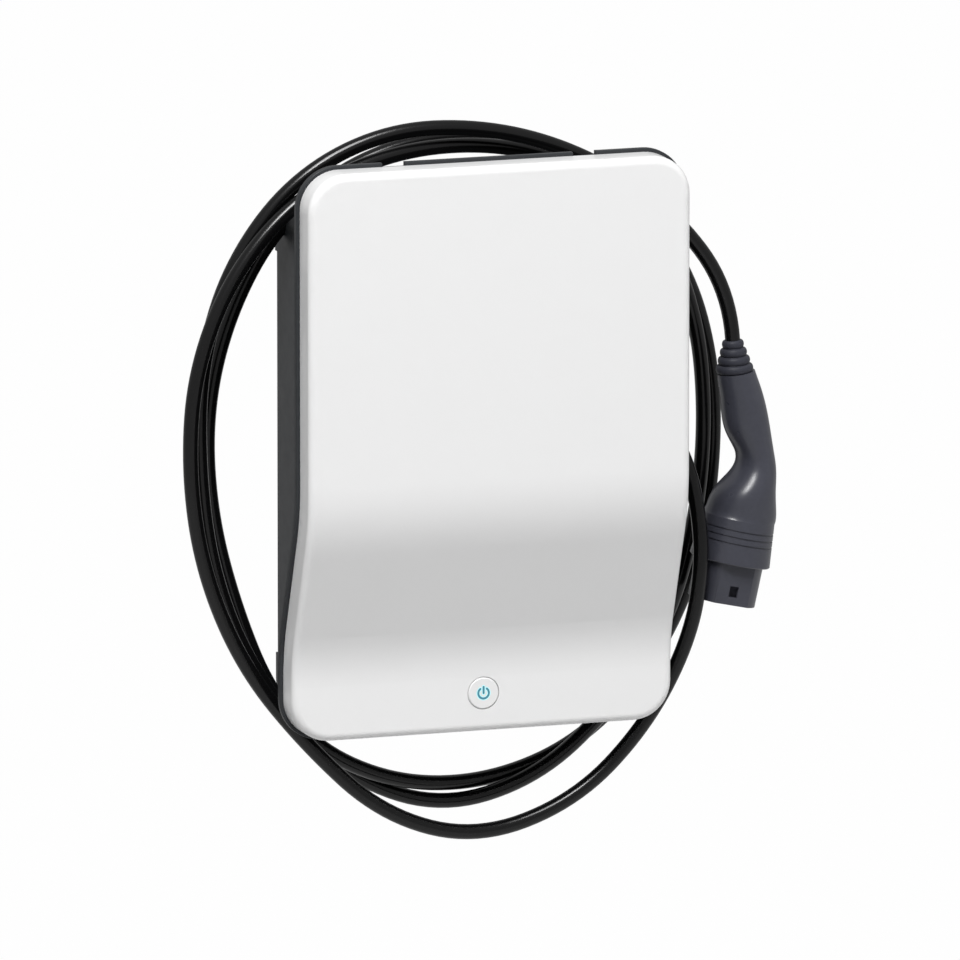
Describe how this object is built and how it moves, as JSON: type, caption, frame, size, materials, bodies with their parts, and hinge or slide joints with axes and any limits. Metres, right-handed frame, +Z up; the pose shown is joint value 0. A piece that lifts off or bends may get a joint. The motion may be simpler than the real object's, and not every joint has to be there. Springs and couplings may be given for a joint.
{
  "type": "wall-mounted vehicle charger",
  "caption": "Wall-mounted vehicle charger: tub with a flange, S-curved cover, push button, and a charging cable wound round its waist to a pistol-grip connector.",
  "frame": {"origin": "on the wall plane, at the centre of the four wall fixing holes", "axes": "+X to the viewer's right as one faces the charger, +Y into the wall, +Z up"},
  "size_m": [0.5062, 0.17, 0.593],
  "materials": {
    "dark_shell": "fine satin",
    "white_cover": "gloss",
    "seal_rubber": "matt",
    "screw_steel": "satin",
    "clear_plastic": "clear",
    "inner_plastic": "matt",
    "circuit_board": "satin",
    "gland_plastic": "satin",
    "rail_steel": "zinc plated",
    "device_grey": "matt",
    "earth_brass": "plain",
    "cable_jacket": "satin",
    "boot_rubber": "satin",
    "connector_shell": "fine satin"
  },
  "bodies": {
    "charger": {"rear_housing": "dark_shell", "front_cover": "white_cover", "cover_seal": "seal_rubber", "cover_screws": "screw_steel", "button_guide": "inner_plastic", "button_board": "circuit_board", "button_switch": "inner_plastic", "button_board_screws": "screw_steel", "button_return_dome": "seal_rubber", "supply_gland_body": "gland_plastic", "supply_gland_locknut": "gland_plastic", "supply_gland_nut": "gland_plastic", "supply_gland_seal": "seal_rubber", "outlet_gland_body": "gland_plastic", "outlet_gland_nut": "gland_plastic", "outlet_gland_seal": "seal_rubber", "mounting_rail": "rail_steel", "rail_spacers": "rail_steel", "rail_screws": "screw_steel", "residual_current_breaker": "device_grey", "contactor": "device_grey", "energy_meter": "device_grey", "power_supply": "device_grey", "supply_terminals": "device_grey", "earth_bar": "earth_brass", "current_sensor": "inner_plastic", "control_board": "circuit_board", "board_pillars": "earth_brass", "board_components": "inner_plastic", "charge_cable": "cable_jacket", "connector_boot": "boot_rubber", "handle_front_half": "connector_shell", "handle_rear_half": "connector_shell", "connector_collar": "connector_shell", "connector_shroud": "connector_shell", "contact_carrier": "inner_plastic", "contact_sleeves": "earth_brass"},
    "button": {"stop_button": "white_cover", "button_light_pipe": "clear_plastic"}
  },
  "joints": [
    {"name": "button_press", "type": "slide", "parent": "charger", "child": "button", "axis": [0, 1, 0], "range_m": [0, 0.0015], "stiffness_N_per_m": 800, "springref_m": -0.0005}
  ]
}
